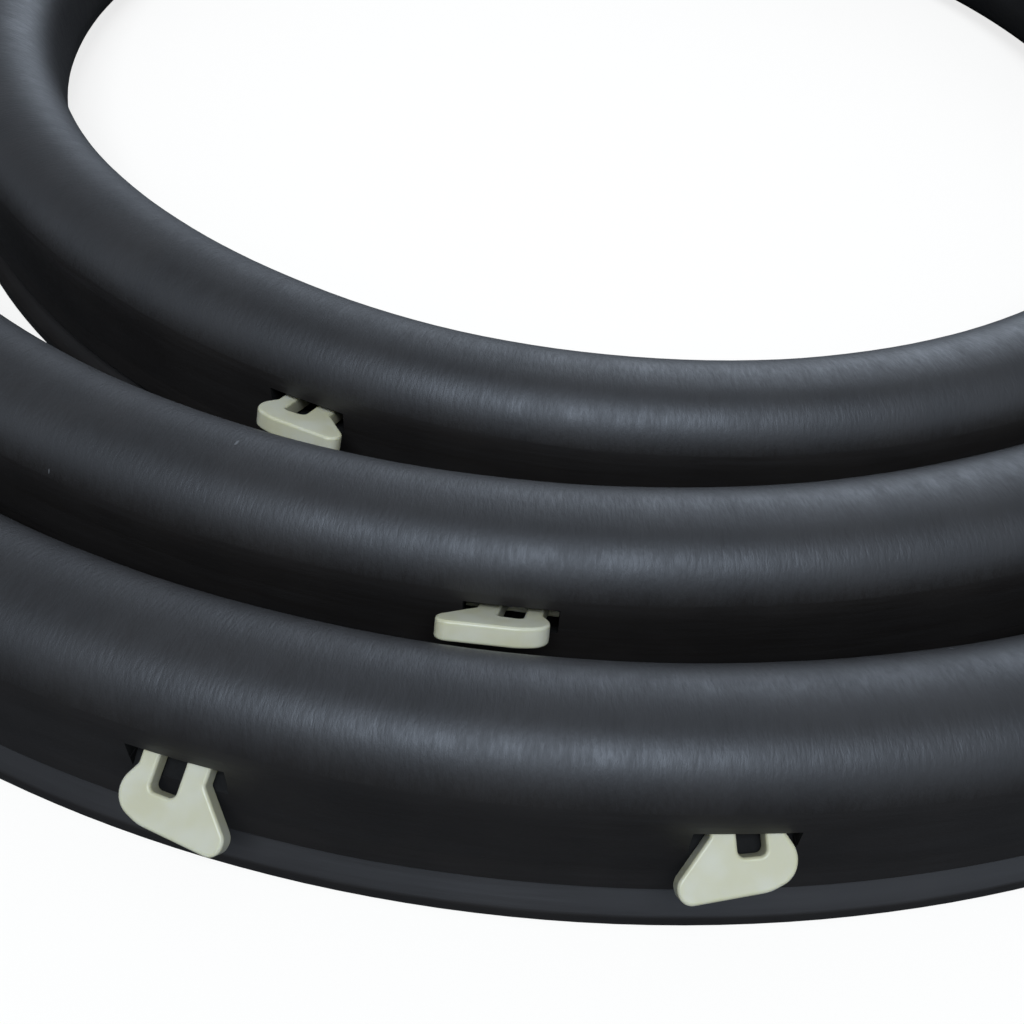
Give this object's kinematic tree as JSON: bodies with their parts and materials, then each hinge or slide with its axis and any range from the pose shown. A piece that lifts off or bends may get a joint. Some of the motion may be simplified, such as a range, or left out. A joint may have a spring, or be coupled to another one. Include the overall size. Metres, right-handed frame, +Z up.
{
  "type": "bulb weatherstrip coil",
  "caption": "Coiled hollow-bulb rubber seal with a grooved base and snap-in plastic clips that rock in slots along its outer side.",
  "frame": {"origin": "middle of the coil's bounding box, on the surface it lies on", "axes": "+Z up through the coil; +Y away from the pictured side; +X to its right"},
  "size_m": [0.3082, 0.3218, 0.022],
  "materials": {
    "sponge_rubber": "satin",
    "dense_rubber": "satin",
    "clip_plastic": "satin"
  },
  "bodies": {
    "strip": {"sponge_bulb": "sponge_rubber", "dense_base": "dense_rubber"},
    "clip_01_body": {"clip_01": "clip_plastic"},
    "clip_02_body": {"clip_02": "clip_plastic"},
    "clip_03_body": {"clip_03": "clip_plastic"},
    "clip_04_body": {"clip_04": "clip_plastic"},
    "clip_05_body": {"clip_05": "clip_plastic"},
    "clip_06_body": {"clip_06": "clip_plastic"},
    "clip_07_body": {"clip_07": "clip_plastic"},
    "clip_08_body": {"clip_08": "clip_plastic"},
    "clip_09_body": {"clip_09": "clip_plastic"},
    "clip_10_body": {"clip_10": "clip_plastic"},
    "clip_11_body": {"clip_11": "clip_plastic"},
    "clip_12_body": {"clip_12": "clip_plastic"},
    "clip_13_body": {"clip_13": "clip_plastic"},
    "clip_14_body": {"clip_14": "clip_plastic"},
    "clip_15_body": {"clip_15": "clip_plastic"},
    "clip_16_body": {"clip_16": "clip_plastic"},
    "clip_17_body": {"clip_17": "clip_plastic"},
    "clip_18_body": {"clip_18": "clip_plastic"},
    "clip_19_body": {"clip_19": "clip_plastic"},
    "clip_20_body": {"clip_20": "clip_plastic"},
    "clip_21_body": {"clip_21": "clip_plastic"},
    "clip_22_body": {"clip_22": "clip_plastic"},
    "clip_23_body": {"clip_23": "clip_plastic"},
    "clip_24_body": {"clip_24": "clip_plastic"},
    "clip_25_body": {"clip_25": "clip_plastic"},
    "clip_26_body": {"clip_26": "clip_plastic"},
    "clip_27_body": {"clip_27": "clip_plastic"},
    "clip_28_body": {"clip_28": "clip_plastic"},
    "clip_29_body": {"clip_29": "clip_plastic"},
    "clip_30_body": {"clip_30": "clip_plastic"}
  },
  "joints": [
    {"name": "clip_01_rock", "type": "hinge", "parent": "strip", "child": "clip_01_body", "pos_m": [0.06199, 0.07469, 0.0136], "axis": [0.8174, -0.576, 0], "range_deg": [0, 10]},
    {"name": "clip_02_rock", "type": "hinge", "parent": "strip", "child": "clip_02_body", "pos_m": [0.09846, 0.02971, 0.0136], "axis": [0.3946, -0.9189, 0], "range_deg": [0, 10]},
    {"name": "clip_03_rock", "type": "hinge", "parent": "strip", "child": "clip_03_body", "pos_m": [0.10624, -0.02573, 0.0136], "axis": [-0.1265, -0.992, 0], "range_deg": [0, 10]},
    {"name": "clip_04_rock", "type": "hinge", "parent": "strip", "child": "clip_04_body", "pos_m": [-0.03065, -0.10717, 0.0136], "axis": [-0.9252, 0.3795, 0], "range_deg": [0, 10]},
    {"name": "clip_05_rock", "type": "hinge", "parent": "strip", "child": "clip_05_body", "pos_m": [-0.08638, -0.05793, 0.0136], "axis": [-0.4958, 0.8685, 0], "range_deg": [0, 10]},
    {"name": "clip_06_rock", "type": "hinge", "parent": "strip", "child": "clip_06_body", "pos_m": [-0.10053, 0.01459, 0.0136], "axis": [0.1328, 0.9911, 0], "range_deg": [0, 10]},
    {"name": "clip_07_rock", "type": "hinge", "parent": "strip", "child": "clip_07_body", "pos_m": [-0.06297, 0.085, 0.0136], "axis": [0.753, 0.658, 0], "range_deg": [0, 10]},
    {"name": "clip_08_rock", "type": "hinge", "parent": "strip", "child": "clip_08_body", "pos_m": [-0.00271, 0.11183, 0.0136], "axis": [0.9928, 0.1194, 0], "range_deg": [0, 10]},
    {"name": "clip_09_rock", "type": "hinge", "parent": "strip", "child": "clip_09_body", "pos_m": [0.07465, 0.09269, 0.0136], "axis": [0.829, -0.5592, 0], "range_deg": [0, 10]},
    {"name": "clip_10_rock", "type": "hinge", "parent": "strip", "child": "clip_10_body", "pos_m": [0.11977, 0.03686, 0.0136], "axis": [0.3728, -0.9279, 0], "range_deg": [0, 10]},
    {"name": "clip_11_rock", "type": "hinge", "parent": "strip", "child": "clip_11_body", "pos_m": [0.12535, -0.03673, 0.0136], "axis": [-0.2285, -0.9735, 0], "range_deg": [0, 10]},
    {"name": "clip_12_rock", "type": "hinge", "parent": "strip", "child": "clip_12_body", "pos_m": [0.0817, -0.10588, 0.0136], "axis": [-0.7763, -0.6304, 0], "range_deg": [0, 10]},
    {"name": "clip_13_rock", "type": "hinge", "parent": "strip", "child": "clip_13_body", "pos_m": [-0.00704, -0.13437, 0.0136], "axis": [-0.9981, 0.0609, 0], "range_deg": [0, 10]},
    {"name": "clip_14_rock", "type": "hinge", "parent": "strip", "child": "clip_14_body", "pos_m": [-0.0914, -0.0959, 0.0136], "axis": [-0.704, 0.7102, 0], "range_deg": [0, 10]},
    {"name": "clip_15_rock", "type": "hinge", "parent": "strip", "child": "clip_15_body", "pos_m": [-0.12724, -0.02802, 0.0136], "axis": [-0.1893, 0.9819, 0], "range_deg": [0, 10]},
    {"name": "clip_16_rock", "type": "hinge", "parent": "strip", "child": "clip_16_body", "pos_m": [-0.1192, 0.04832, 0.0136], "axis": [0.3896, 0.921, 0], "range_deg": [0, 10]},
    {"name": "clip_17_rock", "type": "hinge", "parent": "strip", "child": "clip_17_body", "pos_m": [-0.07919, 0.10173, 0.0136], "axis": [0.7733, 0.6341, 0], "range_deg": [0, 10]},
    {"name": "clip_18_rock", "type": "hinge", "parent": "strip", "child": "clip_18_body", "pos_m": [0.00155, 0.13321, 0.0136], "axis": [0.9984, 0.0569, 0], "range_deg": [0, 10]},
    {"name": "clip_19_rock", "type": "hinge", "parent": "strip", "child": "clip_19_body", "pos_m": [0.08526, 0.11118, 0.0136], "axis": [0.842, -0.5395, 0], "range_deg": [0, 10]},
    {"name": "clip_20_rock", "type": "hinge", "parent": "strip", "child": "clip_20_body", "pos_m": [0.14056, 0.04438, 0.0136], "axis": [0.3728, -0.9279, 0], "range_deg": [0, 40]},
    {"name": "clip_21_rock", "type": "hinge", "parent": "strip", "child": "clip_21_body", "pos_m": [0.1469, -0.04189, 0.0136], "axis": [-0.2331, -0.9725, 0], "range_deg": [0, 40]},
    {"name": "clip_22_rock", "type": "hinge", "parent": "strip", "child": "clip_22_body", "pos_m": [0.09867, -0.11977, 0.0136], "axis": [-0.7622, -0.6473, 0], "range_deg": [0, 40]},
    {"name": "clip_23_rock", "type": "hinge", "parent": "strip", "child": "clip_23_body", "pos_m": [0.01311, -0.15497, 0.0136], "axis": [-0.9971, -0.0765, 0], "range_deg": [0, 40]},
    {"name": "clip_24_rock", "type": "hinge", "parent": "strip", "child": "clip_24_body", "pos_m": [-0.03523, -0.1508, 0.0136], "axis": [-0.9693, 0.2461, 0], "range_deg": [0, 40]},
    {"name": "clip_25_rock", "type": "hinge", "parent": "strip", "child": "clip_25_body", "pos_m": [-0.10878, -0.10735, 0.0136], "axis": [-0.6859, 0.7277, 0], "range_deg": [0, 40]},
    {"name": "clip_26_rock", "type": "hinge", "parent": "strip", "child": "clip_26_body", "pos_m": [-0.14775, -0.0321, 0.0136], "axis": [-0.1985, 0.9801, 0], "range_deg": [0, 40]},
    {"name": "clip_27_rock", "type": "hinge", "parent": "strip", "child": "clip_27_body", "pos_m": [-0.14228, 0.04919, 0.0136], "axis": [0.328, 0.9447, 0], "range_deg": [0, 40]},
    {"name": "clip_28_rock", "type": "hinge", "parent": "strip", "child": "clip_28_body", "pos_m": [-0.09239, 0.12015, 0.0136], "axis": [0.7763, 0.6304, 0], "range_deg": [0, 40]},
    {"name": "clip_29_rock", "type": "hinge", "parent": "strip", "child": "clip_29_body", "pos_m": [-0.01814, 0.15364, 0.0136], "axis": [0.9864, 0.1645, 0], "range_deg": [0, 40]},
    {"name": "clip_30_rock", "type": "hinge", "parent": "strip", "child": "clip_30_body", "pos_m": [0.04936, 0.15037, 0.0136], "axis": [0.9659, -0.259, 0], "range_deg": [0, 40]}
  ]
}
